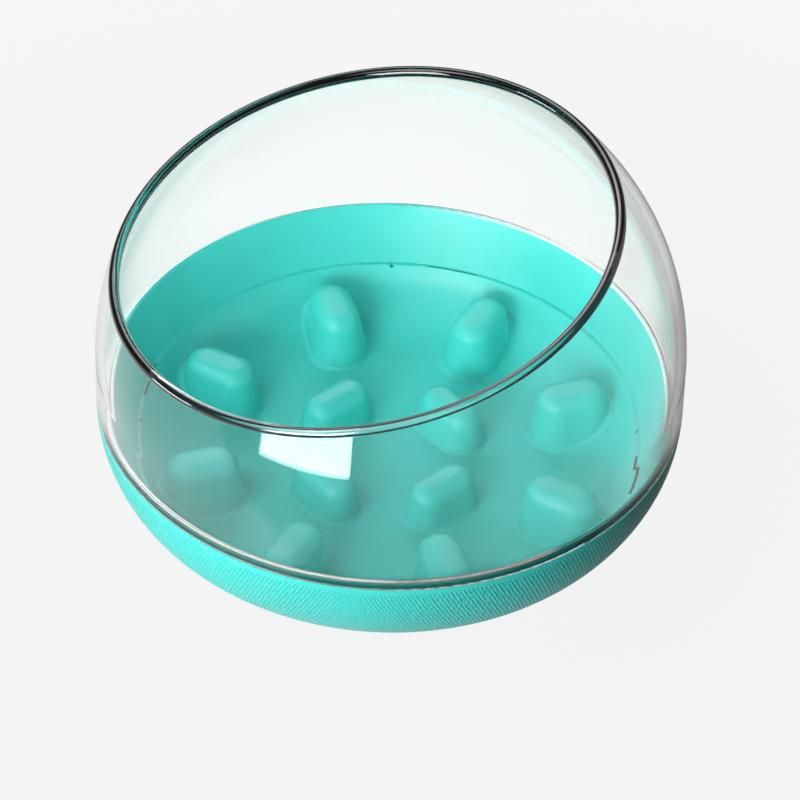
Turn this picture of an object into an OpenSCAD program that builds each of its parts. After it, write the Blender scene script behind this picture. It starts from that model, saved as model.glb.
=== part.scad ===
// Wobble treat dispenser: a weighted, round-bottomed base with a pegged food tray,
// under a clear ball-shaped cover whose wide mouth is cut at a slant.
// Millimetres. The origin is the centre of the small flat foot, and Z points up.

/* [Overall] */
// Outside diameter of the base and the cover
bowl_d = 180; // [170:1:190]
// Height of the tray's rim above the floor
rim_h = 58; // [56:0.5:60]
// Height of the joint line between base and cover
seam_h = 56; // [55:0.5:57]

/* [Base shell] */
// Radius of the ball-shaped underside that the bowl rocks on
rock_r = 118.6; // [110:1:130]
// Radius of the curve between the underside and the upright side
side_r = 38.5; // [36:0.5:41]
// Diameter of the small flat spot that the bowl stands on
foot_d = 44; // [36:1:50]
// Thickness of the shell's wall
shell_wall = 2.5; // [2:0.1:3]
// Thickness of the shell's thin upper edge, outside the cover's spigot
edge_t = 1.3; // [1:0.1:1.4]
// Thickness of the floor over the flat spot
floor_t = 3; // [2.5:0.1:4]

/* [Clear cover] */
// Height of the cover's widest line above the floor
equator_h = 71.5; // [66:0.5:74]
// Thickness of the cover's wall
cover_wall = 2.7; // [2.5:0.1:2.8]
// Distance of the mouth's plane from the centre of the ball
mouth_dist = 44.3; // [40:0.1:50]
// Slant of the mouth's plane
mouth_tilt = 11.6; // [6:0.1:15]
// Direction that the mouth leans to, counted from +X towards +Y
mouth_turn = 200; // [0:1:359]
// Diameter of the round bead along the mouth's edge
bead_d = 3.4; // [3:0.1:4.5]
// Thickness of the spigot below the cover's edge
spigot_t = 1; // [0.8:0.1:1]
// Length of the spigot below the cover's edge
spigot_l = 6; // [4:0.5:6.5]

/* [Food tray] */
// Thickness of the tray's wall
tray_wall = 1.8; // [1.6:0.1:2]
// Width of the tray's top rim
rim_w = 1.4; // [1.2:0.1:1.6]
// Depth from the rim to the crease in the tray's side
crease_depth = 18; // [17:0.5:19]
// Radius of the crease
crease_r = 78.8; // [78:0.1:79.4]
// Width of the step in the crease
crease_step = 1.3; // [1.2:0.1:1.5]
// Depth from the rim to the tray's flat floor
tray_depth = 34; // [32:0.5:35]
// Radius of the hollow between the floor and the side
hollow_r = 26; // [24:0.5:28]

/* [Outer pegs] */
// Number of outer pegs
outer_count = 8; // [6:1:8]
// Distance of the outer pegs' middles from the axis
outer_r = 60; // [58:0.5:62]
// Angle of the first outer peg from +X
outer_turn = 17.7; // [0:0.1:45]
// Length of an outer peg, along the radius
outer_l = 23; // [20:0.5:26]
// Width of an outer peg near its top
outer_w = 14; // [11:0.5:14.5]
// Depth from the rim to the top of the outer pegs
outer_depth = 16.7; // [16:0.1:20]

/* [Inner pegs] */
// Number of inner pegs
inner_count = 4; // [3:1:4]
// Distance of the inner pegs' middles from the axis
inner_r = 25.4; // [24:0.2:27]
// Angle of the first inner peg from +X
inner_turn = 41; // [0:0.1:90]
// Length of an inner peg, across the radius
inner_l = 22.8; // [18:0.1:24]
// Width of an inner peg near its top
inner_w = 12.4; // [11:0.1:13]
// Depth from the rim to the top of the inner pegs
inner_depth = 21.4; // [20:0.1:24]

/* [Peg form] */
// Radius that rounds the pegs' top edges
peg_round = 5; // [3:0.1:5.2]
// Draft of the pegs' sides in degrees
peg_draft = 9; // [4:0.5:12]
// Thickness of the hollow pegs' wall
peg_wall = 1.8; // [1.5:0.1:2]

/* [Tray catches] */
// Number of catches that hold the tray in the shell
catch_count = 4; // [3:1:6]
// Angle of the first vent hole from +X
catch_turn = 0.5; // [0:0.5:45]
// Angle from a vent hole to the middle of its catch's slot
slot_lag = 14.5; // [12:0.5:20]
// Angle that a slot covers
slot_span = 12; // [10:0.5:15]
// Width of a slot
slot_w = 0.8; // [0.6:0.1:0.9]
// Distance of the slots and the vent holes from the crease's corner
slot_inset = 0.4; // [0.35:0.05:0.5]
// Thickness of a catch's leg
leg_t = 1.5; // [1.2:0.1:1.8]
// Diameter of a vent hole
vent_d = 1.4; // [1.2:0.1:1.6]
// Depth from the tray's shoulder to the lip that the catches hook under
lip_depth = 2.9; // [2.8:0.1:3.1]
// Thickness of that lip
lip_h = 1.4; // [1.2:0.1:1.5]
// Height of a catch's barb
barb_h = 1.3; // [1:0.1:1.4]

/* [Counterweight] */
// Diameter of the counterweight
weight_d = 72; // [66:1:76]
// Thickness of the counterweight
weight_t = 7; // [5:0.5:8]
// Diameter of the hole in its middle
weight_hole_d = 12; // [8:0.5:16]
// Height of the counterweight's seat above the floor
weight_h = 8; // [7.5:0.1:9]
// Number of screws
screw_count = 3; // [3:1:4]
// Distance of the screws from the axis
screw_r = 26; // [22:0.5:28]
// Diameter of a screw's shank
screw_d = 3; // [2.5:0.1:3.5]
// Diameter of a screw's head
head_d = 6.5; // [6:0.1:7]
// Height of a screw's head
head_h = 2.4; // [2:0.1:2.6]
// Diameter of the cross recess in a screw's head
recess_d = 3; // [2.4:0.1:3.4]
// Diameter of a screw boss
boss_d = 9; // [8:0.5:10]

/* [Clearances] */
// Gap between the cover's edge and the shell's edge
seam_gap = 0.2; // [0.1:0.05:0.3]
// Gap between the spigot and the walls on both its sides
spigot_gap = 0.35; // [0.3:0.05:0.4]
// Gap round the catches
catch_gap = 0.2; // [0.15:0.05:0.3]
// Gap round the counterweight
weight_gap = 0.4; // [0.3:0.1:0.6]
// Gap round a screw's shank, in its boss and in the counterweight
screw_gap = 0.05; // [0.05:0.05:0.1]

/* [Hidden] */
$fn = 96;
big = 400;
turquoise = [0.25, 0.85, 0.80];

// Base shell
bowl_r = bowl_d / 2;
foot_r = foot_d / 2;
rock_h = sqrt(rock_r * rock_r - foot_r * foot_r);
side_cr = bowl_r - side_r;
side_h = rock_h - sqrt(pow(rock_r - side_r, 2) - side_cr * side_cr);
// where the underside's arc meets the side's arc
tangent_r = side_cr * rock_r / (rock_r - side_r);
tangent_h = rock_h - (rock_h - side_h) * rock_r / (rock_r - side_r);

// Cover
cover_bottom = seam_h + seam_gap;
cover_in_r = bowl_r - cover_wall;
mouth_r = sqrt(pow(bowl_r - cover_wall / 2, 2) - mouth_dist * mouth_dist);
spigot_out_r = cover_in_r + spigot_t;
spigot_bottom = cover_bottom - spigot_l;

// Tray
collar_r = cover_in_r - spigot_gap;
collar_bottom = spigot_bottom;
rim_in_r = collar_r - rim_w;
rim_cr = collar_r - rim_w / 2;
rim_ch = rim_h - rim_w / 2;
crease_h = rim_h - crease_depth;
tray_floor_h = rim_h - tray_depth;
hollow_h = tray_floor_h + hollow_r;
hollow_top_r = crease_r - crease_step;
hollow_cr = hollow_top_r - sqrt(hollow_r * hollow_r - pow(hollow_h - crease_h, 2));
hollow_out_r = hollow_r + tray_wall;
shoulder_h = crease_h - tray_wall;
shoulder_in_r = hollow_cr + sqrt(pow(hollow_out_r, 2) - pow(hollow_h - shoulder_h, 2));
shoulder_r = crease_r + tray_wall;
side_slope = (rim_in_r - crease_r) / (rim_ch - crease_h);
collar_in_r = shoulder_r + side_slope * (collar_bottom - crease_h);

// Catches: slot, leg and barb of the tray, ledge and lip of the shell
slot_out_r = crease_r - slot_inset;
slot_in_r = slot_out_r - slot_w;
vent_r = slot_out_r - vent_d / 2;
leg_out_r = slot_in_r - catch_gap;
leg_in_r = leg_out_r - leg_t;
// ends inside the tray's wall
leg_top = hollow_h - (sqrt(pow(hollow_r, 2) - pow(leg_in_r - hollow_cr, 2))
                      + sqrt(pow(hollow_out_r, 2) - pow(leg_out_r - hollow_cr, 2))) / 2;
lip_in_r = leg_out_r + catch_gap;
lip_top = shoulder_h - lip_depth;
lip_bottom = lip_top - lip_h;
barb_top = lip_bottom - catch_gap;
barb_bottom = barb_top - barb_h;
ledge_in_r = shoulder_in_r + catch_gap;

// Counterweight
weight_r = weight_d / 2;
weight_top = weight_h + weight_t;
screw_tip = 2.9;

module copies(count, first = 0) {
    for (i = [0 : count - 1])
        rotate([0, 0, first + i * 360 / count])
            children();
}

module ring_piece(from, span) {
    rotate([0, 0, from])
        rotate_extrude(angle = span)
            children();
}

module band(in_r, out_r, low, high) {
    translate([in_r, low])
        square([out_r - in_r, high - low]);
}

// The base's outline below the seam, moved inwards by inset
module shell_outline(inset, top) {
    intersection() {
        union() {
            intersection() {
                translate([0, rock_h])
                    circle(r = rock_r - inset, $fn = 360);
                band(0, tangent_r, -side_r, tangent_h);
            }
            band(0, side_cr, tangent_h, top);
            intersection() {
                translate([side_cr, side_h])
                    circle(r = side_r - inset, $fn = 180);
                band(0, bowl_r, -side_r, side_h);
            }
            band(0, bowl_r - inset, side_h, max(top, side_h));
        }
        band(0, bowl_r, -side_r, top);
    }
}

// Filled section of the tray's inside (food side)
module tray_hollow() {
    intersection() {
        translate([hollow_cr, hollow_h])
            circle(r = hollow_r, $fn = 180);
        band(0, hollow_cr + hollow_r, tray_floor_h, crease_h);
    }
    band(0, hollow_cr, tray_floor_h, crease_h);
    polygon([[0, crease_h], [crease_r, crease_h], [rim_in_r, rim_ch], [0, rim_ch]]);
}

// Filled section of the tray's outside
module tray_outside() {
    intersection() {
        translate([hollow_cr, hollow_h])
            circle(r = hollow_out_r, $fn = 180);
        band(0, hollow_cr + hollow_out_r, tray_floor_h - tray_wall, shoulder_h);
    }
    band(0, hollow_cr, tray_floor_h - tray_wall, shoulder_h);
    polygon([
        [0, shoulder_h], [shoulder_r, shoulder_h],
        [shoulder_r, crease_h], [collar_in_r, collar_bottom],
        [collar_r, collar_bottom], [collar_r, rim_ch], [0, rim_ch]
    ]);
}

// Half section of a peg: flat top, rounded edge, drafted side
module peg_half(half_w, top, foot, rounding) {
    cx = half_w - rounding;
    cz = top - rounding;
    tx = cx + rounding * cos(peg_draft);
    tz = cz + rounding * sin(peg_draft);
    polygon([[0, foot], [tx + (tz - foot) * tan(peg_draft), foot], [tx, tz], [cx, cz], [cx, top], [0, top]]);
    intersection() {
        translate([cx, cz])
            circle(r = rounding, $fn = 48);
        band(0, half_w + rounding, foot, top);
    }
}

// A peg lying along X, with its middle on the Z axis
module peg(length, width, top, foot, rounding) {
    reach = (length - width) / 2;
    for (end = [0, 180])
        rotate([0, 0, end])
            translate([reach, 0, 0])
                ring_piece(-90, 180)
                    peg_half(width / 2, top, foot, rounding);
    rotate([90, 0, 90])
        translate([0, 0, -reach])
            linear_extrude(2 * reach) {
                peg_half(width / 2, top, foot, rounding);
                mirror([1, 0])
                    peg_half(width / 2, top, foot, rounding);
            }
}

// All pegs, with their skin moved inwards by inset
module pegs(inset) {
    foot = tray_floor_h - tray_wall - inset;
    copies(outer_count, outer_turn)
        translate([outer_r, 0, 0])
            peg(outer_l - 2 * inset, outer_w - 2 * inset, rim_h - outer_depth - inset, foot,
                peg_round - inset);
    copies(inner_count, inner_turn)
        translate([inner_r, 0, 0])
            rotate([0, 0, 90])
                peg(inner_l - 2 * inset, inner_w - 2 * inset, rim_h - inner_depth - inset, foot,
                    peg_round - inset);
}

module screw_holes(depth_from, depth_to, d) {
    copies(screw_count)
        translate([screw_r, 0, depth_from])
            cylinder(d = d, h = depth_to - depth_from, $fn = 32);
}

// Clear of the shell's inside, for what stands on its floor
module shell_inside() {
    rotate_extrude()
        intersection() {
            shell_outline(shell_wall / 2, seam_h);
            band(0, bowl_r, floor_t / 2, seam_h);
        }
}

// Turquoise outer shell with the ledge for the tray and the seat for the counterweight
module base_shell() {
    color(turquoise) {
        difference() {
            union() {
                rotate_extrude()
                    difference() {
                        intersection() {
                            shell_outline(0, seam_h);
                            band(0, bowl_r, 0, seam_h);
                        }
                        intersection() {
                            shell_outline(shell_wall, seam_h + 1);
                            band(0, bowl_r, floor_t, seam_h + 1);
                        }
                        // room for the cover's spigot
                        band(0, bowl_r - edge_t, spigot_bottom - spigot_gap, seam_h + 1);
                    }
                intersection() {
                    shell_inside();
                    union() {
                        // ring that the tray's shoulder sits on, with the lip for the catches
                        rotate_extrude() {
                            band(ledge_in_r, bowl_r, lip_bottom, shoulder_h);
                            band(lip_in_r, bowl_r, lip_bottom, lip_top);
                        }
                        // seat and surround of the counterweight
                        rotate_extrude() {
                            band(weight_r - 2, weight_r + weight_gap, floor_t / 2, weight_h);
                            band(weight_r + weight_gap, weight_r + weight_gap + shell_wall, floor_t / 2,
                                 weight_h + weight_t * 0.7);
                        }
                        copies(screw_count)
                            translate([screw_r, 0, 0])
                                cylinder(d = boss_d, h = weight_h);
                    }
                }
            }
            screw_holes(screw_tip - 0.4, weight_h + 1, screw_d + 2 * screw_gap);
        }
    }
}

// Heavy disc that makes the bowl right itself
module counterweight() {
    color([0.35, 0.36, 0.38])
        difference() {
            translate([0, 0, weight_h])
                cylinder(r = weight_r, h = weight_t);
            translate([0, 0, weight_h - 1])
                cylinder(d = weight_hole_d, h = weight_t + 2);
            screw_holes(weight_h - 1, weight_top + 1, screw_d + 2 * screw_gap);
        }
}

// Pan-head screw, its threads left plain
module weight_screw(i) {
    color([0.75, 0.75, 0.77])
        rotate([0, 0, i * 360 / screw_count])
            translate([screw_r, 0, 0])
                difference() {
                    union() {
                        translate([0, 0, screw_tip])
                            cylinder(d = screw_d, h = weight_top - screw_tip, $fn = 32);
                        translate([0, 0, weight_top])
                            cylinder(d = head_d, h = head_h, $fn = 48);
                    }
                    for (turn = [0, 90])
                        translate([0, 0, weight_top + head_h])
                            rotate([0, 0, turn])
                                cube([recess_d, recess_d / 4, head_h], center = true);
                }
}

// Tray: flared side, crease, hollow, flat floor and two rings of hollow pegs, in one moulding
module food_tray() {
    color(turquoise)
        difference() {
            union() {
                rotate_extrude() {
                    difference() {
                        tray_outside();
                        tray_hollow();
                    }
                    // rounded rim
                    translate([rim_cr, rim_ch])
                        circle(d = rim_w, $fn = 32);
                }
                intersection() {
                    pegs(0);
                    rotate_extrude()
                        tray_outside();
                }
                // legs and barbs of the catches
                copies(catch_count, catch_turn)
                    ring_piece(-slot_lag - slot_span / 2, slot_span) {
                        band(leg_in_r, leg_out_r, barb_bottom, leg_top);
                        band(leg_in_r, slot_out_r, barb_bottom, barb_top);
                    }
            }
            pegs(peg_wall);
            copies(catch_count, catch_turn) {
                ring_piece(-slot_lag - slot_span / 2, slot_span)
                    band(slot_in_r, slot_out_r, lip_top, crease_h + 1);
                translate([vent_r, 0, lip_top])
                    cylinder(d = vent_d, h = crease_depth, $fn = 24);
            }
        }
}

// Clear ball-shaped cover with its slanted, beaded mouth and the spigot that plugs into the base
module clear_cover() {
    color([0.85, 0.93, 0.92, 0.35]) {
        difference() {
            rotate_extrude() {
                difference() {
                    cover_outline(bowl_r, cover_bottom);
                    cover_outline(cover_in_r, cover_bottom - 1);
                }
                band(cover_in_r, spigot_out_r, spigot_bottom, cover_bottom + 1);
            }
            mouth_place()
                translate([0, 0, big / 2])
                    cube(big, center = true);
        }
        mouth_place()
            rotate_extrude()
                translate([mouth_r, 0])
                    circle(d = bead_d, $fn = 48);
    }
}

// Half outline of a ball from its widest line up, on a straight wall
module cover_outline(r, bottom) {
    intersection() {
        translate([0, equator_h])
            circle(r = r, $fn = 360);
        band(0, bowl_r, equator_h, equator_h + bowl_r);
    }
    band(0, r, bottom, equator_h);
}

module mouth_place() {
    translate([0, 0, equator_h])
        rotate([0, 0, mouth_turn])
            rotate([0, mouth_tilt, 0])
                translate([0, 0, mouth_dist])
                    children();
}

base_shell();
counterweight();
weight_screw(0);  // weight_screw_1
weight_screw(1);  // weight_screw_2
weight_screw(2);  // weight_screw_3
food_tray();
clear_cover();
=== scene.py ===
"""Looks of the wobble treat dispenser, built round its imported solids.

Metres, Z up. The origin is the centre of the small flat foot, as in the part.
"""

import math
from collections import namedtuple

import bmesh
import bpy
import numpy as np
from bpy.props import FloatProperty, FloatVectorProperty, IntProperty, PointerProperty
from mathutils import Matrix, Vector


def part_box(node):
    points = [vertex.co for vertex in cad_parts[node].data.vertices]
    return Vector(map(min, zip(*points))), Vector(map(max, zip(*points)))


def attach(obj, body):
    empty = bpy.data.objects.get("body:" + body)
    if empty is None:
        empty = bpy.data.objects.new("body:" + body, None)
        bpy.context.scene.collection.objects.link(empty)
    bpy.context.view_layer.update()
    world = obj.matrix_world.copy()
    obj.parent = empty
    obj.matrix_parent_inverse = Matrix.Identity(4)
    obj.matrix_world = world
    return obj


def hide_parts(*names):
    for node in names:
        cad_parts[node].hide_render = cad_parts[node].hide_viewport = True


bl_info = {
    "name": "Wobble treat dispenser",
    "version": (1, 0, 0),
    "blender": (4, 5, 0),
    "location": "View3D > Sidebar > Dispenser",
    "description": "Builds the finished look of a wobble treat dispenser over its solids",
    "category": "Object",
}

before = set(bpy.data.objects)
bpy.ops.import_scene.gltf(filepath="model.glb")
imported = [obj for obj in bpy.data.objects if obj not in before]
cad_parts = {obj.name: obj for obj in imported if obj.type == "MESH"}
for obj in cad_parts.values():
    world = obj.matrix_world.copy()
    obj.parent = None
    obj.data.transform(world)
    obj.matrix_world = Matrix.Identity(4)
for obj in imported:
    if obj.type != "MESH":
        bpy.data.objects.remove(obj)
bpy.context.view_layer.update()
COVER_LOW, COVER_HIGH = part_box("clear_cover")


# ---------------------------------------------------------------- sizes and colours


class CoverSettings(bpy.types.PropertyGroup):
    """Sizes and tint of the clear cover"""

    radius: FloatProperty(
        name="Radius", description="Outside radius of the ball-shaped wall",
        default=COVER_HIGH[0], min=0.05, unit="LENGTH", precision=4)
    wall: FloatProperty(
        name="Wall", description="Thickness of the wall",
        default=0.0027, min=0.001, unit="LENGTH", precision=4)
    equator: FloatProperty(
        name="Widest line", description="Height of the widest line above the floor",
        default=0.0715, min=0.05, unit="LENGTH", precision=4)
    edge: FloatProperty(
        name="Lower edge", description="Height of the lower edge that meets the base",
        default=0.0562, min=0.04, unit="LENGTH", precision=4)
    mouth_distance: FloatProperty(
        name="Mouth distance", description="From the ball's centre to the mouth's plane",
        default=0.0443, min=0.02, unit="LENGTH", precision=4)
    mouth_tilt: FloatProperty(
        name="Mouth slant", description="Slant of the mouth's plane",
        default=math.radians(11.6), subtype="ANGLE")
    mouth_turn: FloatProperty(
        name="Mouth direction", description="Direction that the mouth leans to",
        default=math.radians(200), subtype="ANGLE")
    bead: FloatProperty(
        name="Bead", description="Diameter of the round bead along the mouth",
        default=0.0034, min=0.001, unit="LENGTH", precision=4)
    spigot: FloatProperty(
        name="Spigot", description="Thickness of the spigot's step beyond the wall",
        default=0.001, min=0.0005, unit="LENGTH", precision=4)
    tint: FloatVectorProperty(
        name="Tint", description="Colour of light through the clear plastic", subtype="COLOR",
        size=3, min=0, max=1, default=(1.0, 0.993, 0.990))
    # painted shade: the colours that the wall's edges are painted where they are seen edge-on, paler on the
    # left, darker on the right
    left_edge_painted_shade: FloatVectorProperty(
        name="Left edge", description="Colour of light that grazes the wall on the left", subtype="COLOR",
        size=3, min=0, max=1, default=(0.70, 0.76, 0.72))
    right_edge_painted_shade: FloatVectorProperty(
        name="Right edge", description="Colour of light that grazes the wall on the right", subtype="COLOR",
        size=3, min=0, max=1, default=(0.28, 0.265, 0.23))
    # painted shade: the colour that the bead's sides are painted where they are seen edge-on
    bead_edge_painted_shade: FloatVectorProperty(
        name="Bead edge", description="Colour of light that grazes the bead", subtype="COLOR",
        size=3, min=0, max=1, default=(0.004, 0.004, 0.005))
    # painted shade: colour of the thick lower edge, which stands for the shaded gap seen through it
    band: FloatVectorProperty(
        name="Lower band", description="Colour of light through the thick lower edge", subtype="COLOR",
        size=3, min=0, max=1, default=(0.17, 0.20, 0.19))
    band_height: FloatProperty(
        name="Band height", description="Height of the dark band above the lower edge",
        default=0.0034, min=0.001, unit="LENGTH", precision=4)


class TraySettings(bpy.types.PropertyGroup):
    """Sizes and colour of the food tray's pegs"""

    floor: FloatProperty(
        name="Floor", description="Height of the tray's flat floor",
        default=0.024, unit="LENGTH", precision=4)
    hollow_radius: FloatProperty(
        name="Hollow", description="Radius of the hollow between floor and side",
        default=0.026, unit="LENGTH", precision=4)
    hollow_middle: FloatProperty(
        name="Hollow's middle", description="Distance of the hollow's middle from the axis",
        default=0.0535, unit="LENGTH", precision=4)
    outer_count: IntProperty(name="Outer pegs", description="Number of outer pegs", default=8, min=1)
    inner_count: IntProperty(name="Inner pegs", description="Number of inner pegs", default=4, min=1)
    outer_turn: FloatProperty(
        name="First outer peg", description="Angle of the first outer peg from X",
        default=math.radians(17.7), subtype="ANGLE")
    inner_turn: FloatProperty(
        name="First inner peg", description="Angle of the first inner peg from X",
        default=math.radians(41), subtype="ANGLE")
    fillet: FloatProperty(
        name="Foot fillet", description="Radius of the fillet round a peg's foot",
        default=0.0014, min=0.0003, unit="LENGTH", precision=4)
    colour: FloatVectorProperty(
        name="Colour", description="Colour of the turquoise plastic", subtype="COLOR",
        size=3, min=0, max=1, default=(0.06, 0.66, 0.60))


class ShellSettings(bpy.types.PropertyGroup):
    """Relief of the turquoise shell"""

    lines: IntProperty(
        name="Lines", description="Number of slanting lines round the shell", default=430, min=40)
    pitch: FloatProperty(
        name="Line pitch", description="Upright distance between two lines",
        default=0.0026, min=0.0005, unit="LENGTH", precision=4)
    relief: FloatProperty(
        name="Relief", description="Depth of the lines",
        default=0.00022, min=0, unit="LENGTH", precision=5)


class StageSettings(bpy.types.PropertyGroup):
    """Floor, light and camera"""

    backdrop: FloatProperty(
        name="Backdrop", description="Brightness of floor and backdrop, 1 is white",
        default=0.922, min=0, max=1)
    through: FloatProperty(
        name="Backdrop through plastic", description="Brightness of the backdrop seen through clear plastic",
        default=1.03, min=0)
    key: FloatProperty(
        name="Key light", description="Power of the low softbox in front", default=3.3, unit="POWER")
    high: FloatProperty(
        name="High light", description="Power of the softbox up left", default=2.3, unit="POWER")
    left: FloatProperty(
        name="Left light", description="Power of the low softbox at the left", default=1.9, unit="POWER")
    back: FloatProperty(
        name="Back light", description="Power of the softbox up behind", default=1.7, unit="POWER")
    distance: FloatProperty(
        name="Camera distance", description="From the camera to the tray's rim", default=1.5, unit="LENGTH")
    elevation: FloatProperty(
        name="Camera elevation", description="Angle of the camera above the horizon",
        default=math.radians(41.72), subtype="ANGLE")
    roll: FloatProperty(
        name="Camera roll", description="Turn of the camera about its view",
        default=math.radians(1.611), subtype="ANGLE")


# the cover's mesh: rows of the bead and of the ball, and the soft radius of its lower corners
BEAD_ROWS = 33
BALL_ROWS = 36
CORNER_RADIUS = 0.00018

# a peg of the tray: sizes in metres, draft in degrees, distance of its middle from the axis,
# and whether its length points to the axis or lies across
Peg = namedtuple("Peg", "length width top rounding draft middle along_radius")
OUTER_PEG = Peg(
    length=0.023, width=0.014, top=0.0413, rounding=0.005, draft=9, middle=0.060, along_radius=True)
INNER_PEG = Peg(
    length=0.0228, width=0.0124, top=0.0366, rounding=0.005, draft=9, middle=0.0254, along_radius=False)
# how far the ends of a foot's fillet sink into the plastic, and its hidden corner goes down and in
END_SINK, CORNER_DOWN, CORNER_IN = 0.000012, 0.00025, 0.0002

# place, target and size of each softbox
SOFTBOXES = {
    "key": ((-0.2545, -0.4885, 0.17), (0.2455, 0.3775, 0.17), (0.306, 0.34)),
    "high": ((-0.50, -0.30, 0.85), (0, 0, 0.03), (0.5, 0.5)),
    "left": ((-0.90, -0.12, 0.07), (0, 0, 0.04), (0.30, 0.12)),
    "back": ((-0.18, 0.80, 0.76), (0, 0, 0.04), (0.6, 0.4)),
}

# the camera looks at the middle of the tray's rim, moved to the right and down in the picture
RIM_MIDDLE = (0, 0, 0.058)
CAMERA_RIGHT, CAMERA_DOWN = 0.00304, 0.00533
SENSOR_MM, LENS_MM = 36, 220.2

FLOOR_RADIUS, FLOOR_SIDES = 6.0, 96
WHITE = (1, 1, 1, 1)
# brightness of the room round the stage, as it lights the object and as polished things mirror it
DIM, DIM_MIRRORED = 0.05, 0.10


# ---------------------------------------------------------------- shader maths


def add_node(tree, kind, settings=None, sockets=None, out=0):
    """Adds a node, sets it, links or fills its inputs, and returns its output"""
    made = tree.nodes.new(kind)
    for key, value in (settings or {}).items():
        setattr(made, key, value)
    for key, value in (sockets or {}).items():
        if isinstance(value, Socket):
            tree.links.new(value.output, made.inputs[key])
        else:
            made.inputs[key].default_value = value
    return Socket(tree, made.outputs[out])


class Socket:
    """An output socket of a node tree. Sums and products of it add Math nodes."""

    def __init__(self, tree, output):
        self.tree = tree
        self.output = output

    def math(self, operation, *terms):
        return add_node(self.tree, "ShaderNodeMath", {"operation": operation}, dict(enumerate(terms)))

    def __add__(self, other):
        return self.math("ADD", self, other)

    def __sub__(self, other):
        return self.math("SUBTRACT", self, other)

    def __rsub__(self, other):
        return self.math("SUBTRACT", other, self)

    def __mul__(self, other):
        return self.math("MULTIPLY", self, other)

    def __truediv__(self, other):
        return self.math("DIVIDE", self, other)

    def __pow__(self, other):
        return self.math("POWER", self, other)

    def __neg__(self):
        return self.math("MULTIPLY", self, -1.0)

    def sine(self):
        return self.math("SINE", self)

    def most(self, other):
        return self.math("MAXIMUM", self, other)

    def ramp(self, low, high, out_low=0.0, out_high=1.0):
        """Smooth step from out_low at low to out_high at high"""
        return add_node(
            self.tree, "ShaderNodeMapRange", {"interpolation_type": "SMOOTHSTEP"},
            {"Value": self, "From Min": low, "From Max": high, "To Min": out_low, "To Max": out_high})


class Painter:
    """Adds nodes to one node tree."""

    def __init__(self, tree):
        self.tree = tree
        tree.nodes.clear()

    def node(self, kind, settings=None, sockets=None, out=0):
        return add_node(self.tree, kind, settings, sockets, out)

    def place(self):
        """The Object coordinates, and their x, y and z"""
        where = self.node("ShaderNodeTexCoord", out="Object")
        split = self.node("ShaderNodeSeparateXYZ", None, {0: where})
        return where, [Socket(self.tree, output) for output in split.output.node.outputs]

    def noise(self, where, scale, detail=2.0, roughness=0.5):
        return self.node(
            "ShaderNodeTexNoise", None,
            {"Vector": where, "Scale": scale, "Detail": detail, "Roughness": roughness}, "Fac")

    def grazing(self):
        """0 where the surface faces the eye, 1 where it is seen edge-on"""
        return self.node("ShaderNodeLayerWeight", None, {"Blend": 0.5}, "Facing")

    def blend(self, factor, first, second, kind="MIX"):
        """A colour between two others, each of them a socket or a plain colour"""
        first, second = (one if isinstance(one, Socket) else (*one, 1.0) for one in (first, second))
        settings = {"data_type": "RGBA", "blend_type": kind}
        return self.node("ShaderNodeMix", settings, {0: factor, 6: first, 7: second}, 2)

    def bump(self, height, distance, strength=1.0, before=None):
        """Relief of a depth in metres, on top of the relief before it"""
        sockets = {"Height": height, "Distance": distance, "Strength": strength}
        if before is not None:
            sockets["Normal"] = before
        return self.node("ShaderNodeBump", None, sockets)

    def principled(self, **sockets):
        """A Principled shader. A word's underscores stand for the spaces in its socket's name."""
        named = {key.replace("_", " "): value for key, value in sockets.items()}
        return self.node("ShaderNodeBsdfPrincipled", None, named)

    def finish(self, surface, kind="ShaderNodeOutputMaterial"):
        """Joins the surface to the tree's output"""
        self.tree.links.new(surface.output, self.tree.nodes.new(kind).inputs["Surface"])


def new_material(name):
    material = bpy.data.materials.new(name)
    material.use_nodes = True
    return material, Painter(material.node_tree)


def tinted(colour, factor):
    """The colour made darker or lighter"""
    return tuple(min(1.0, part * factor) for part in colour)


# ---------------------------------------------------------------- finishes

# from the dips to the tops of a noise texture
CLOUD = 0.3, 0.7
# moulding grain: scale, detail and roughness of its noise, and its depth
GRAIN = 3200.0, 2.0, 0.6
GRAIN_DEPTH = 0.00003
# light that enters the turquoise plastic and comes out again close by
SOFT_PLASTIC = {"Subsurface_Weight": 0.12, "Subsurface_Radius": (0.4, 1.0, 0.9), "Subsurface_Scale": 0.0012}
PLASTIC_IOR = 1.49
SHELL_IOR = 1.42
# the tray's rolled rim begins at this distance from the axis and this height
RIM_SIDE = 0.0853, 0.0856
RIM_TOP = 0.0570, 0.0572
# near white painted on the tray's rim as a highlight
RIM_PAINTED_HIGHLIGHT = (0.98, 0.98, 0.98)
# heights between which the shell's lines fade in and out
LINES_BELOW = 0.016, 0.030
LINES_ABOVE = 0.0535, 0.0548
# heights between which the wall's painted grey edge shade gives way to its thin painted dark outline
OUTLINE_RISE = 0.094, 0.112
# painted colours of the bead: a pale reflection inside on the left, and rosy and white highlights along its
# middle
BEAD_PALE_PAINTED_REFLECTION, BEAD_ROSY_PAINTED_HIGHLIGHT, BEAD_WHITE_PAINTED_HIGHLIGHT = (0.80, 0.74, 0.75), (0.20, 0.14, 0.18), (0.07, 0.08, 0.085)
# upright distance between the fine lighter lines painted into the thick lower edge's shade
BAND_LINES = 0.0011


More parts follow.
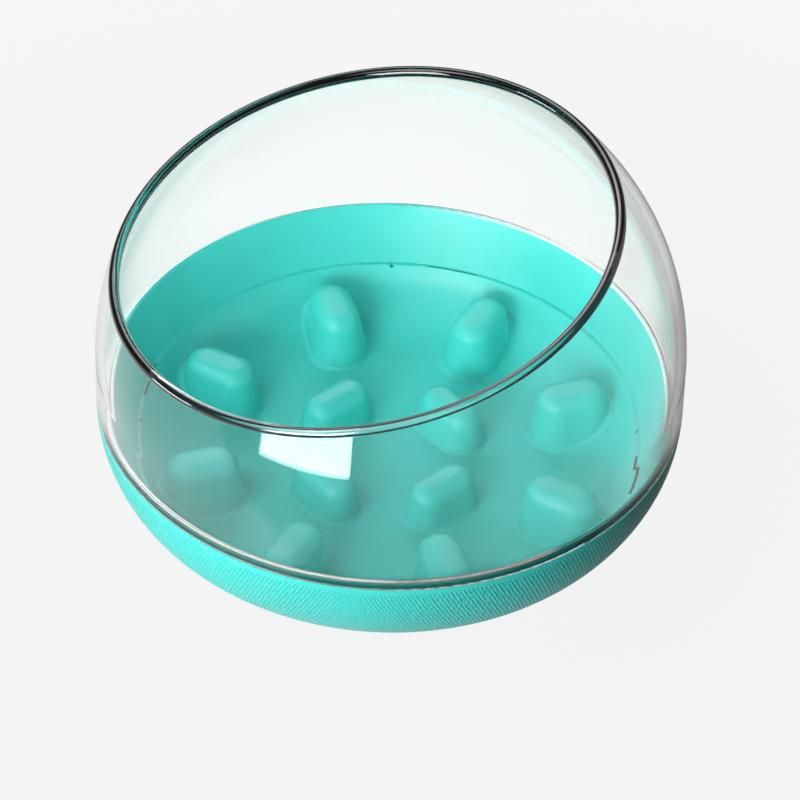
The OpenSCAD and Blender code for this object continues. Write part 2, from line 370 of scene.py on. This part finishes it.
def turquoise_tray_plastic(colour):
    """Satin moulded plastic with a fine eroded grain, faint flow shading and a rim with a painted highlight
    under a glossy coat
    """
    material, paint = new_material("turquoise_tray_plastic")
    where, (x, y, z) = paint.place()
    cloud = paint.noise(where, 28.0, 3.0)
    speck = paint.noise(where, 900.0, 1.0)
    base = paint.blend(cloud.ramp(*CLOUD), tinted(colour, 0.955), tinted(colour, 1.03))
    # the floor has a matt grain, pegs and side are smoother
    matt = 1 - z.ramp(0.025, 0.034)
    rough = cloud.ramp(*CLOUD, 0.34, 0.40) + (speck - 0.5) * 0.06 + matt * 0.28
    # painted highlight: the rim is painted near white and given a glossy coat in front, and less so on the
    # right
    rim = ((x * x + y * y) ** 0.5).ramp(*RIM_SIDE) * z.ramp(*RIM_TOP)
    front = (-y).ramp(-0.035, 0.010) * (1 - x.ramp(0.046, 0.052))
    right = x.ramp(0.0, 0.05) * y.ramp(-0.03, 0.0) * 0.75
    rim_gloss_and_painted_highlight = rim * front.most(right)
    paint.finish(paint.principled(
        Base_Color=paint.blend(rim_gloss_and_painted_highlight, base, RIM_PAINTED_HIGHLIGHT), Roughness=rough,
        Normal=paint.bump(paint.noise(where, *GRAIN), GRAIN_DEPTH, 0.55), IOR=PLASTIC_IOR,
        Coat_Weight=rim_gloss_and_painted_highlight, Coat_Roughness=0.10, **SOFT_PLASTIC))
    return material


def turquoise_shell_plastic(colour, look):
    """The same plastic with the slanting hatched relief of the outside"""
    material, paint = new_material("turquoise_shell_plastic")
    where, (x, y, z) = paint.place()
    cloud = paint.noise(where, 24.0, 3.0)
    angle = y.math("ARCTAN2", y, x)
    climb = 2 * math.pi / look.pitch
    wander = (paint.noise(where, 160.0, 1.0) - 0.5) * 1.5
    rising = (angle * look.lines + z * climb + wander).sine() * 0.5 + 0.5
    falling = (angle * look.lines - z * climb + wander).sine() * 0.5 + 0.5
    # the lines lean one way on the left, the other way on the right, and meet left of the middle
    side = x / (x * x + y * y) ** 0.5
    left = (-side).ramp(-0.04, 0.32)
    right = side.ramp(-0.32, 0.04)
    broken = paint.noise(where, 780.0, 1.0).ramp(0.36, 0.58, 0.08, 1.0)
    lines = (rising * right).most(falling * left) * broken
    band = z.ramp(*LINES_BELOW) * (1 - z.ramp(*LINES_ABOVE))
    height = lines * band * side.ramp(0.1, 0.8, 1.0, 0.4)
    normal = paint.bump(paint.noise(where, *GRAIN), GRAIN_DEPTH, 0.5)
    normal = paint.bump(height, look.relief, 1.0, normal)
    base = paint.blend(cloud.ramp(*CLOUD), tinted(colour, 0.96), tinted(colour, 1.03))
    # painted shade: the hollows between the lines are painted a little darker
    hollow = paint.blend((1 - lines) * band * 0.16, (1, 1, 1), tinted(colour, 0.55))
    paint.finish(paint.principled(
        Base_Color=paint.blend(1.0, base, hollow, "MULTIPLY"),
        Roughness=cloud.ramp(*CLOUD, 0.33, 0.40) + band * 0.04,
        Normal=normal, IOR=SHELL_IOR, **SOFT_PLASTIC))
    return material


def clear_finish(paint, where, tint, base, **extra):
    """Clear moulded plastic of a base colour. Its shadow is pale, as that of a thin clear wall is."""
    smear = paint.noise(where, 90.0, 3.0).ramp(0.35, 0.75, 0.0, 0.012)
    glass = paint.principled(
        Base_Color=base, Roughness=smear, IOR=PLASTIC_IOR, Transmission_Weight=1.0, **extra)
    clear = paint.node("ShaderNodeBsdfTransparent", None, {"Color": (*tinted(tint, 0.97), 1.0)})
    shadow = paint.node("ShaderNodeLightPath", out="Is Shadow Ray")
    paint.finish(paint.node("ShaderNodeMixShader", None, {0: shadow, 1: glass, 2: clear}))


def clear_wall(cover):
    """The ball-shaped wall, with painted shade: grey where it is seen edge-on, darker on the right, and a
    thin dark painted outline
    """
    material, paint = new_material("clear_plastic")
    where, (x, _, z) = paint.place()
    grazing = paint.grazing()
    upper = z.ramp(*OUTLINE_RISE)
    # painted shade: grey edges where the wall is seen edge-on, darker on the right, and a thin dark outline
    # up on the right
    edge = paint.blend(x.ramp(-0.03, 0.05) * (1 - upper), cover.left_edge_painted_shade, cover.right_edge_painted_shade)
    base = paint.blend(grazing.ramp(0.62, 0.76), cover.tint, edge)
    outline = grazing.ramp(0.86, 0.95) * x.ramp(0.0, 0.03) * upper
    base = paint.blend(outline, base, tinted(cover.right_edge_painted_shade, 0.3))
    clear_finish(paint, where, cover.tint, base)
    return material


def clear_bead(cover):
    """The bead, painted nearly black at its sides as painted shade, with a painted pale reflection inside on
    the left
    """
    material, paint = new_material("clear_bead")
    where, (x, y, z) = paint.place()
    grazing = paint.grazing()
    # height along the mouth's axis, and distance from it
    up = mouth_axis(cover)
    high = x * up[0] + y * up[1] + (z - cover.equator) * up[2]
    reach = (x * x + y * y + (z - cover.equator) ** 2.0 - high * high) ** 0.5
    middle = math.sqrt((cover.radius - cover.wall / 2) ** 2 - cover.mouth_distance ** 2)
    # painted shade and reflection: the bead's sides are painted nearly black, and its inner side pale on the
    # left
    pale = (1 - (reach - middle).ramp(-0.0007, 0.0001)) * (-x).ramp(0.025, 0.05)
    edge = paint.blend(pale, cover.bead_edge_painted_shade, BEAD_PALE_PAINTED_REFLECTION)
    base = paint.blend(grazing.ramp(0.05, 0.16).most(y.ramp(-0.015, 0.01)), cover.tint, edge)
    # painted highlight: a glowing line along the rod's middle, rosy on the right, white and wider in front
    bead_r = cover.bead / 2
    line = (high - cover.mouth_distance).ramp(0.955 * bead_r, 0.995 * bead_r)
    rosy_painted_highlight = line * x.ramp(0.0, 0.04) * (1 - y.ramp(0.0, 0.03))
    white = (1 - grazing.ramp(0.01, 0.14)) * (-y).ramp(0.035, 0.058) * (1 - x.ramp(0.0, 0.045))
    painted_glint = paint.blend(white, paint.blend(rosy_painted_highlight, (0, 0, 0), BEAD_ROSY_PAINTED_HIGHLIGHT), BEAD_WHITE_PAINTED_HIGHLIGHT)
    clear_finish(
        paint, where, cover.tint, base,
        Coat_Weight=1.0, Coat_Roughness=0.03, Emission_Color=painted_glint, Emission_Strength=1.0)
    return material


def clear_band(cover):
    """The thick lower edge, painted dark as shade with fine lighter lines, dark towards the front"""
    material, paint = new_material("clear_band")
    where, (_, y, z) = paint.place()
    wave = paint.noise(where, 45.0, 1.0)
    # painted shade: dark with fine lighter lines for the shaded gap seen through the edge, fading to the
    # clear tint towards the back
    line = (z * (2 * math.pi / BAND_LINES) + wave * 3.0).sine().ramp(0.2, 0.9)
    dark = paint.blend(line, cover.band, tinted(cover.band, 2.1))
    clear_finish(paint, where, cover.tint, paint.blend(y.ramp(-0.045, 0.035), dark, cover.tint))
    return material


def cast_iron():
    """Dark grey casting with a sandy skin"""
    material, paint = new_material("cast_iron")
    where, _ = paint.place()
    sand = paint.noise(where, 1500.0, 3.0, 0.65)
    patch = paint.noise(where, 70.0, 4.0)
    paint.finish(paint.principled(
        Base_Color=paint.blend(patch.ramp(*CLOUD), (0.055, 0.057, 0.060), (0.11, 0.11, 0.115)),
        Metallic=0.75, Roughness=patch.ramp(*CLOUD, 0.45, 0.62), Normal=paint.bump(sand, 0.00008, 0.8)))
    return material


def zinc_steel():
    """Bright zinc-plated steel with a fine grain"""
    material, paint = new_material("zinc_steel")
    where, _ = paint.place()
    patch = paint.noise(where, 260.0, 3.0)
    fine = paint.noise(where, 5200.0, 2.0)
    paint.finish(paint.principled(
        Base_Color=paint.blend(patch.ramp(*CLOUD), (0.60, 0.61, 0.62), (0.76, 0.76, 0.75)),
        Metallic=1.0, Roughness=patch.ramp(*CLOUD, 0.24, 0.36), Normal=paint.bump(fine, 0.00001, 0.6)))
    return material


# ---------------------------------------------------------------- mesh helpers


def mesh_object(name, points, faces, smooth=True):
    """A new object in the scene from points and faces"""
    mesh = bpy.data.meshes.new(name)
    mesh.from_pydata([tuple(point) for point in points], [], faces)
    mesh.validate()
    if smooth:
        mesh.shade_smooth()
    else:
        mesh.shade_flat()
    made = bpy.data.objects.new(name, mesh)
    bpy.context.scene.collection.objects.link(made)
    return made


def ring_surface(name, grid):
    """A closed surface from grid[row][column] points, joined round in both directions"""
    rows, columns = grid.shape[:2]
    faces = []
    for i in range(rows):
        for j in range(columns):
            k, m = (i + 1) % rows, (j + 1) % columns
            faces.append((i * columns + j, i * columns + m, k * columns + m, k * columns + j))
    return mesh_object(name, grid.reshape(-1, 3), faces)


def face_outwards(made):
    """Turns all faces of a closed mesh outwards"""
    work = bmesh.new()
    work.from_mesh(made.data)
    bmesh.ops.recalc_face_normals(work, faces=work.faces)
    work.to_mesh(made.data)
    work.free()


def dress(node, material):
    """Gives a node of the part its finish"""
    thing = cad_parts[node]
    thing.data.materials.clear()
    thing.data.materials.append(material)


# ---------------------------------------------------------------- clear cover


def mouth_axis(cover):
    """Direction in which the mouth opens"""
    turn, tilt = cover.mouth_turn, cover.mouth_tilt
    return math.sin(tilt) * math.cos(turn), math.sin(tilt) * math.sin(turn), math.cos(tilt)


def cover_grid(cover, columns=384):
    """Rows of points from the bead's inner side over it, down outside, and up inside"""
    half = cover.wall / 2
    out_r, in_r, mid_r = cover.radius, cover.radius - cover.wall, cover.radius - half
    turn, tilt = cover.mouth_turn, cover.mouth_tilt
    # the mouth's axis and, for each column, the direction away from it
    up = np.array(mouth_axis(cover))
    u = np.array([math.cos(tilt) * math.cos(turn), math.cos(tilt) * math.sin(turn), -math.sin(tilt)])
    v = np.cross(up, u)
    phi = np.linspace(0, 2 * math.pi, columns, endpoint=False)
    side = np.cos(phi)[:, None] * u + np.sin(phi)[:, None] * v
    middle = np.array([0, 0, cover.equator])
    rows, kinds = [], []

    # bead, from the inner join over the free side to the outer join
    mouth = math.acos(cover.mouth_distance / mid_r)
    sine, cosine = math.sin(mouth), math.cos(mouth)
    bead_r = cover.bead / 2
    reach = math.sqrt(bead_r ** 2 - half ** 2)
    start = math.atan2(half, reach)
    for step in np.linspace(-start, start - 2 * math.pi, BEAD_ROWS):
        across, down = bead_r * math.sin(step), bead_r * math.cos(step)
        away = sine * mid_r + sine * across + cosine * down
        high = cosine * mid_r + cosine * across - sine * down
        rows.append(middle + away * side + high * up)
        kinds.append("bead")

    # angle from the mouth's axis at which each column meets the widest circle
    meet = np.arctan2(up[2], -side[:, 2])
    at_meet = np.cos(meet)[:, None] * up + np.sin(meet)[:, None] * side
    flat = at_meet[:, :2] / np.linalg.norm(at_meet[:, :2], axis=1)[:, None]

    def ball(radius, share):
        """A row of the ball, from the bead at share 0 to the widest circle at 1"""
        first = mouth + reach / radius
        psi = first + (meet - first) * share
        return middle + radius * (np.cos(psi)[:, None] * up + np.sin(psi)[:, None] * side)

    def level(radius, height):
        """A row of the upright wall"""
        return np.concatenate([flat * radius, np.full((columns, 1), height)], axis=1)

    shares = [0.004, 0.02, *np.linspace(0.05, 1, BALL_ROWS)]
    for share in shares:
        rows.append(ball(out_r, share))
        kinds.append("wall")
    edge, low = cover.edge, COVER_LOW[2]
    spigot_r, soft = in_r + cover.spigot, CORNER_RADIUS
    high, band = edge + 0.6 * (cover.equator - edge), edge + cover.band_height
    corner = [
        (out_r, high), (out_r, (high + band) / 2), (out_r, band), (out_r, (edge + band) / 2),
        (out_r, edge + 2.2 * soft), (out_r, edge + soft), (out_r - 0.3 * soft, edge + 0.3 * soft),
        (out_r - soft, edge), (out_r - 2.2 * soft, edge), (spigot_r + 2 * soft, edge),
        (spigot_r + 0.8 * soft, edge), (spigot_r + 0.2 * soft, edge - 0.2 * soft),
        (spigot_r, edge - 0.8 * soft), (spigot_r, edge - 2 * soft),
        (spigot_r, low + 2.2 * soft), (spigot_r, low + soft), (spigot_r - 0.3 * soft, low + 0.3 * soft),
        (spigot_r - soft, low), (in_r + soft, low), (in_r + 0.3 * soft, low + 0.3 * soft),
        (in_r, low + soft), (in_r, low + 2.2 * soft), (in_r, edge), (in_r, band), (in_r, high),
    ]
    for radius, height in corner:
        rows.append(level(radius, height))
        kinds.append("band" if height <= band + 1e-9 else "wall")
    for share in reversed(shares):
        rows.append(ball(in_r, share))
        kinds.append("wall")
    return np.array(rows), kinds


def cover_normals(cover, made, kinds, columns):
    """Exact directions of the ball-shaped and upright walls, so that they bend light evenly"""
    mesh = made.data
    count = len(mesh.vertices)
    spots = np.empty(count * 3)
    mesh.vertices.foreach_get("co", spots)
    spots = spots.reshape(-1, 3)
    given = np.array([tuple(one.vector) for one in mesh.vertex_normals])
    ball = spots - np.array([0, 0, cover.equator])
    ball /= np.linalg.norm(ball, axis=1)[:, None]
    upright = spots * (1, 1, 0)
    upright /= np.linalg.norm(upright, axis=1)[:, None]
    exact = np.where((spots[:, 2] > cover.equator)[:, None], ball, upright)
    exact *= np.sign((exact * given).sum(axis=1))[:, None]
    # the bead and the soft corners, which turn away from both forms, keep their own directions
    near = (exact * given).sum(axis=1) > 0.995
    even = near & np.repeat([kind != "bead" for kind in kinds], columns)
    mesh.normals_split_custom_set_from_vertices(np.where(even[:, None], exact, given).tolist())


class DISPENSER_OT_cover(bpy.types.Operator):
    """Builds the clear cover with its beaded mouth and spigot"""

    bl_idname = "dispenser.cover"
    bl_label = "Clear cover"

    def execute(self, context):
        cover = context.scene.dispenser_cover
        grid, kinds = cover_grid(cover)
        made = ring_surface("cover_shell", grid)
        for finish in (clear_wall(cover), clear_bead(cover), clear_band(cover)):
            made.data.materials.append(finish)
        columns = grid.shape[1]
        finishes = ["wall", "bead", "band"]
        for face in made.data.polygons:
            # a face that joins two kinds of rows is a part of the wall
            row = face.index // columns
            first, second = kinds[row], kinds[(row + 1) % len(kinds)]
            face.material_index = finishes.index(first) if first == second else 0
        face_outwards(made)
        cover_normals(cover, made, kinds, columns)
        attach(made, "cover")
        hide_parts("clear_cover")
        return {"FINISHED"}


# ---------------------------------------------------------------- tray


def tray_height(tray, radius):
    """Height of the tray's inside without its pegs"""
    beyond = max(0.0, radius - tray.hollow_middle)
    if beyond >= tray.hollow_radius * 0.999:
        return 1.0
    return tray.floor + tray.hollow_radius - math.sqrt(tray.hollow_radius ** 2 - beyond ** 2)


def halve(low, high, times, is_below):
    """The height at which is_below stops being true"""
    for _ in range(times):
        test = (low + high) / 2
        if is_below(test):
            low = test
        else:
            high = test
    return high


def outline_spot(s, reach, foot):
    """Where the outline of a peg's foot stands at the length s along it, and its outward direction"""
    arc = math.pi * foot
    if s < 2 * reach:
        return (reach - s, 0.0), (0.0, 1.0)
    if s < 2 * reach + arc:
        a = math.pi / 2 + (s - 2 * reach) / foot
        return (-reach, 0.0), (math.cos(a), math.sin(a))
    if s < 4 * reach + arc:
        return (-reach + (s - 2 * reach - arc), 0.0), (0.0, -1.0)
    a = -math.pi / 2 + (s - 4 * reach - arc) / foot
    return (reach, 0.0), (math.cos(a), math.sin(a))


def fillet_ring(tray, peg, columns=120, steps=8):
    """Closed strip that rounds the corner between a peg's side and the tray, as a rolling ball would"""
    radius = tray.fillet
    draft = math.radians(peg.draft)
    slope = math.tan(draft)
    shoulder = peg.width / 2 - peg.rounding + peg.rounding * math.cos(draft)
    shoulder_z = peg.top - peg.rounding + peg.rounding * math.sin(draft)
    reach = (peg.length - peg.width) / 2
    foot = shoulder + (shoulder_z - tray.floor) * slope
    whole = 4 * reach + 2 * math.pi * foot
    clear = radius / math.cos(draft)

    def wide(height):
        """From the peg's middle line to its side"""
        return shoulder + (shoulder_z - height) * slope

    def column(base, way):
        """Points of the strip on one line out of the peg"""

        def spot(out, height):
            px, py = base[0] + way[0] * out, base[1] + way[1] * out
            if peg.along_radius:
                return px + peg.middle, py, height
            return peg.middle - py, px, height

        def ground(out):
            px, py, _ = spot(out, 0)
            return tray_height(tray, math.hypot(px, py))

        def nearest(out, height):
            """Distance to the tray, and how far out its nearest point lies"""

            def closest(steps_out):
                return min((math.hypot(d, ground(out + d) - height), d) for d in steps_out)

            # a coarse search, then a fine one
            best = closest(np.linspace(-1.0, 1.6, 105) * radius * 1.2)[1]
            return closest(np.linspace(best - 0.03 * radius, best + 0.03 * radius, 21))

        def too_low(height):
            out = wide(height) + clear
            return ground(out) > height or nearest(out, height)[0] < radius

        middle_z = halve(tray.floor, shoulder_z, 26, too_low)
        middle_out = wide(middle_z) + clear
        ground_out = middle_out + nearest(middle_out, middle_z)[1]
        first = (draft - math.pi) % (2 * math.pi)
        last = math.atan2(ground(ground_out) - middle_z, ground_out - middle_out) % (2 * math.pi)
        points = []
        for i in range(steps + 1):
            # both ends sink a little into the plastic
            grow = radius + (END_SINK if i in (0, steps) else 0.0)
            a = first + (last - first) * i / steps
            points.append(spot(middle_out + grow * math.cos(a), middle_z + grow * math.sin(a)))
        # the corner itself lies inside the plastic
        corner_z = halve(
            tray.floor - 0.001, middle_z, 30, lambda height: ground(wide(height)) > height) - CORNER_DOWN
        points.append(spot(wide(corner_z) - CORNER_IN, corner_z))
        return points

    # even steps along the foot's outline
    grid = [column(*outline_spot(whole * j / columns, reach, foot)) for j in range(columns)]
    return np.array(grid).transpose(1, 0, 2)


def ring_of(thing, name, count, first, material):
    """Geometry Nodes that set copies of a mesh round the axis; returns their plain mesh object"""
    tree = bpy.data.node_groups.new(name + "_ring", "GeometryNodeTree")
    face = tree.interface
    face.new_socket("Geometry", in_out="INPUT", socket_type="NodeSocketGeometry")
    counted = face.new_socket("Count", in_out="INPUT", socket_type="NodeSocketInt")
    turned = face.new_socket("First angle", in_out="INPUT", socket_type="NodeSocketFloat")
    painted = face.new_socket("Finish", in_out="INPUT", socket_type="NodeSocketMaterial")
    face.new_socket("Geometry", in_out="OUTPUT", socket_type="NodeSocketGeometry")
    nodes, link = tree.nodes, tree.links.new
    given, result = nodes.new("NodeGroupInput"), nodes.new("NodeGroupOutput")
    points = nodes.new("GeometryNodePoints")
    index = nodes.new("GeometryNodeInputIndex")
    share = nodes.new("ShaderNodeMath")
    share.operation = "DIVIDE"
    turn = nodes.new("ShaderNodeMath")
    turn.operation = "MULTIPLY_ADD"
    turn.inputs[1].default_value = 2 * math.pi
    spin = nodes.new("ShaderNodeCombineXYZ")
    copies = nodes.new("GeometryNodeInstanceOnPoints")
    real = nodes.new("GeometryNodeRealizeInstances")
    finish = nodes.new("GeometryNodeSetMaterial")
    link(given.outputs["Count"], points.inputs["Count"])
    link(index.outputs[0], share.inputs[0])
    link(given.outputs["Count"], share.inputs[1])
    link(share.outputs[0], turn.inputs[0])
    link(given.outputs["First angle"], turn.inputs[2])
    link(turn.outputs[0], spin.inputs["Z"])
    link(points.outputs[0], copies.inputs["Points"])
    link(given.outputs["Geometry"], copies.inputs["Instance"])
    link(spin.outputs[0], copies.inputs["Rotation"])
    link(copies.outputs[0], real.inputs[0])
    link(real.outputs[0], finish.inputs["Geometry"])
    link(given.outputs["Finish"], finish.inputs["Material"])
    link(finish.outputs[0], result.inputs[0])
    modifier = thing.modifiers.new("Ring", "NODES")
    modifier.node_group = tree
    modifier[counted.identifier] = count
    modifier[turned.identifier] = first
    modifier[painted.identifier] = material
    shaped = thing.evaluated_get(bpy.context.evaluated_depsgraph_get())
    mesh = bpy.data.meshes.new_from_object(shaped)
    mesh.name = name
    made = bpy.data.objects.new(name, mesh)
    bpy.context.scene.collection.objects.link(made)
    bpy.data.objects.remove(thing)
    return made


class DISPENSER_OT_tray(bpy.types.Operator):
    """Finishes the food tray and rounds the feet of its pegs"""

    bl_idname = "dispenser.tray"
    bl_label = "Food tray"

    def execute(self, context):
        tray = context.scene.dispenser_tray
        plastic = turquoise_tray_plastic(tuple(tray.colour))
        dress("food_tray", plastic)
        for name, peg, count, first in (
            ("outer_peg_fillets", OUTER_PEG, tray.outer_count, tray.outer_turn),
            ("inner_peg_fillets", INNER_PEG, tray.inner_count, tray.inner_turn),
        ):
            one = ring_surface(name + "_one", fillet_ring(tray, peg))
            face_outwards(one)
            made = ring_of(one, name, count, first, plastic)
            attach(made, "base")
        return {"FINISHED"}


class DISPENSER_OT_shell(bpy.types.Operator):
    """Finishes the turquoise shell with its hatched relief"""

    bl_idname = "dispenser.shell"
    bl_label = "Base shell"

    def execute(self, context):
        colour = tuple(context.scene.dispenser_tray.colour)
        dress("base_shell", turquoise_shell_plastic(colour, context.scene.dispenser_shell))
        return {"FINISHED"}


class DISPENSER_OT_weight(bpy.types.Operator):
    """Finishes the counterweight and its screws"""

    bl_idname = "dispenser.weight"
    bl_label = "Counterweight and screws"

    def execute(self, context):
        dress("counterweight", cast_iron())
        steel = zinc_steel()
        for i in range(3):
            dress(f"weight_screw_{i + 1}", steel)
        return {"FINISHED"}


# ---------------------------------------------------------------- stage


def softbox(name, place, target, size, power):
    """An oblong soft light that the camera doesn't see"""
    lamp = bpy.data.lights.new(name, "AREA")
    lamp.shape, lamp.size, lamp.size_y = "RECTANGLE", size[0], size[1]
    lamp.energy = power
    thing = bpy.data.objects.new(name, lamp)
    thing.visible_camera = False
    bpy.context.scene.collection.objects.link(thing)
    thing.location = place
    thing.rotation_mode = "QUATERNION"
    thing.rotation_quaternion = (Vector(target) - Vector(place)).to_track_quat("-Z", "Y")


def ray_kinds(paint):
    """1 for rays from the camera, through clear plastic and off polished things"""
    outputs = paint.node("ShaderNodeLightPath").output.node.outputs
    return [Socket(paint.tree, outputs[f"Is {kind} Ray"]) for kind in ("Camera", "Transmission", "Glossy")]


class DISPENSER_OT_stage(bpy.types.Operator):
    """Sets the pale floor, the soft lights and the camera"""

    bl_idname = "dispenser.stage"
    bl_label = "Stage"

    def execute(self, context):
        look = context.scene.dispenser_stage
        scene = context.scene
        self.floor(look)
        self.world(scene, look)
        for name, (place, target, size) in SOFTBOXES.items():
            softbox(name + "_softbox", place, target, size, getattr(look, name))
        self.camera(scene, look)
        scene.view_settings.view_transform = "Standard"
        return {"FINISHED"}

    def floor(self, look):
        """A wide round floor that shows as the plain backdrop and keeps a faint shadow"""
        turns = [2 * math.pi * i / FLOOR_SIDES for i in range(FLOOR_SIDES)]
        rim = [(FLOOR_RADIUS * math.cos(turn), FLOOR_RADIUS * math.sin(turn), 0) for turn in turns]
        floor = mesh_object("floor", rim, [tuple(range(FLOOR_SIDES))], False)
        material, paint = new_material("pale_floor")
        _, (x, y, _) = paint.place()
        camera, through, glossy = ray_kinds(paint)
        seen = camera.most(through)
        # polished things see the bright floor behind a slanting front edge, and a darker one before it
        left = (-x).ramp(-0.14, 0.04, 0.25, 1.0)
        beyond = (y - x * 0.41).ramp(-0.118, -0.104) * left
        shown = camera * look.backdrop + (1 - camera) * through * look.through
        mirrored = glossy * (beyond * 0.8 + 0.06)
        cast = (1 - glossy) * left * 0.26
        bright = shown + (1 - seen) * mirrored + (1 - seen) * cast
        lit = paint.node("ShaderNodeEmission", None, {"Color": WHITE, "Strength": bright})
        matt = paint.node("ShaderNodeBsdfDiffuse", None, {"Color": (0.86, 0.86, 0.86, 1)})
        share = (1 - ((x * x + y * y) ** 0.5).ramp(0.10, 0.34)) * seen * 0.05
        paint.finish(paint.node("ShaderNodeMixShader", None, {0: share, 1: lit, 2: matt}))
        floor.data.materials.append(material)

    def world(self, scene, look):
        """The backdrop beyond the floor, and a dim room for all other rays"""
        scene.world = bpy.data.worlds.new("studio")
        scene.world.use_nodes = True
        paint = Painter(scene.world.node_tree)
        camera, through, glossy = ray_kinds(paint)
        where = paint.node("ShaderNodeTexCoord", out="Generated")
        height = paint.node("ShaderNodeSeparateXYZ", None, {0: where}, "Z")
        # clear plastic shows the backdrop low down and the dim room high up
        room = (1 - height.ramp(0.42, 0.62)) * (look.through - DIM) + DIM
        level = camera * look.backdrop + (1 - camera) * (
            through * room + (1 - through) * (glossy * DIM_MIRRORED + (1 - glossy) * DIM))
        paint.finish(
            paint.node("ShaderNodeBackground", None, {"Color": WHITE, "Strength": level}),
            "ShaderNodeOutputWorld")

    def camera(self, scene, look):
        """A long lens in front of the dispenser that looks down at its rim"""
        lens = bpy.data.cameras.new("camera")
        lens.sensor_width, lens.lens = SENSOR_MM, LENS_MM
        lens.clip_start, lens.clip_end = 0.05, 50
        thing = bpy.data.objects.new("camera", lens)
        scene.collection.objects.link(thing)
        back = Vector((0, -math.cos(look.elevation), math.sin(look.elevation)))
        level, rise = Vector((1, 0, 0)), Vector((0, math.sin(look.elevation), math.cos(look.elevation)))
        right = math.cos(look.roll) * level + math.sin(look.roll) * rise
        up = -math.sin(look.roll) * level + math.cos(look.roll) * rise
        thing.location = (
            Vector(RIM_MIDDLE) + right * CAMERA_RIGHT - up * CAMERA_DOWN + back * look.distance)
        thing.rotation_mode = "QUATERNION"
        thing.rotation_quaternion = Matrix((right, up, back)).transposed().to_quaternion()
        scene.camera = thing


# ---------------------------------------------------------------- panel and registration


class DISPENSER_PT_panel(bpy.types.Panel):
    """Lists the dispenser's pieces and their settings"""

    bl_idname = "DISPENSER_PT_panel"
    bl_label = "Wobble treat dispenser"
    bl_space_type = "VIEW_3D"
    bl_region_type = "UI"
    bl_category = "Dispenser"

    def draw(self, context):
        scene = context.scene
        for group, operators in (
            ("dispenser_cover", ("dispenser.cover",)),
            ("dispenser_tray", ("dispenser.tray", "dispenser.weight")),
            ("dispenser_shell", ("dispenser.shell",)),
            ("dispenser_stage", ("dispenser.stage",)),
        ):
            box = self.layout.box()
            settings = getattr(scene, group)
            for name in settings.bl_rna.properties.keys():
                if name not in ("rna_type", "name"):
                    box.prop(settings, name)
            for operator in operators:
                box.operator(operator)


CLASSES = (
    CoverSettings, TraySettings, ShellSettings, StageSettings,
    DISPENSER_OT_cover, DISPENSER_OT_tray, DISPENSER_OT_shell, DISPENSER_OT_weight, DISPENSER_OT_stage,
    DISPENSER_PT_panel,
)
GROUPS = {
    "dispenser_cover": CoverSettings, "dispenser_tray": TraySettings,
    "dispenser_shell": ShellSettings, "dispenser_stage": StageSettings,
}


def register():
    for one in CLASSES:
        bpy.utils.register_class(one)
    for name, group in GROUPS.items():
        setattr(bpy.types.Scene, name, PointerProperty(type=group))


def unregister():
    for name in GROUPS:
        delattr(bpy.types.Scene, name)
    for one in reversed(CLASSES):
        bpy.utils.unregister_class(one)


def main():
    register()
    bpy.ops.dispenser.stage()
    bpy.ops.dispenser.shell()
    bpy.ops.dispenser.weight()
    bpy.ops.dispenser.tray()
    bpy.ops.dispenser.cover()


if __name__ == "__main__":
    main()
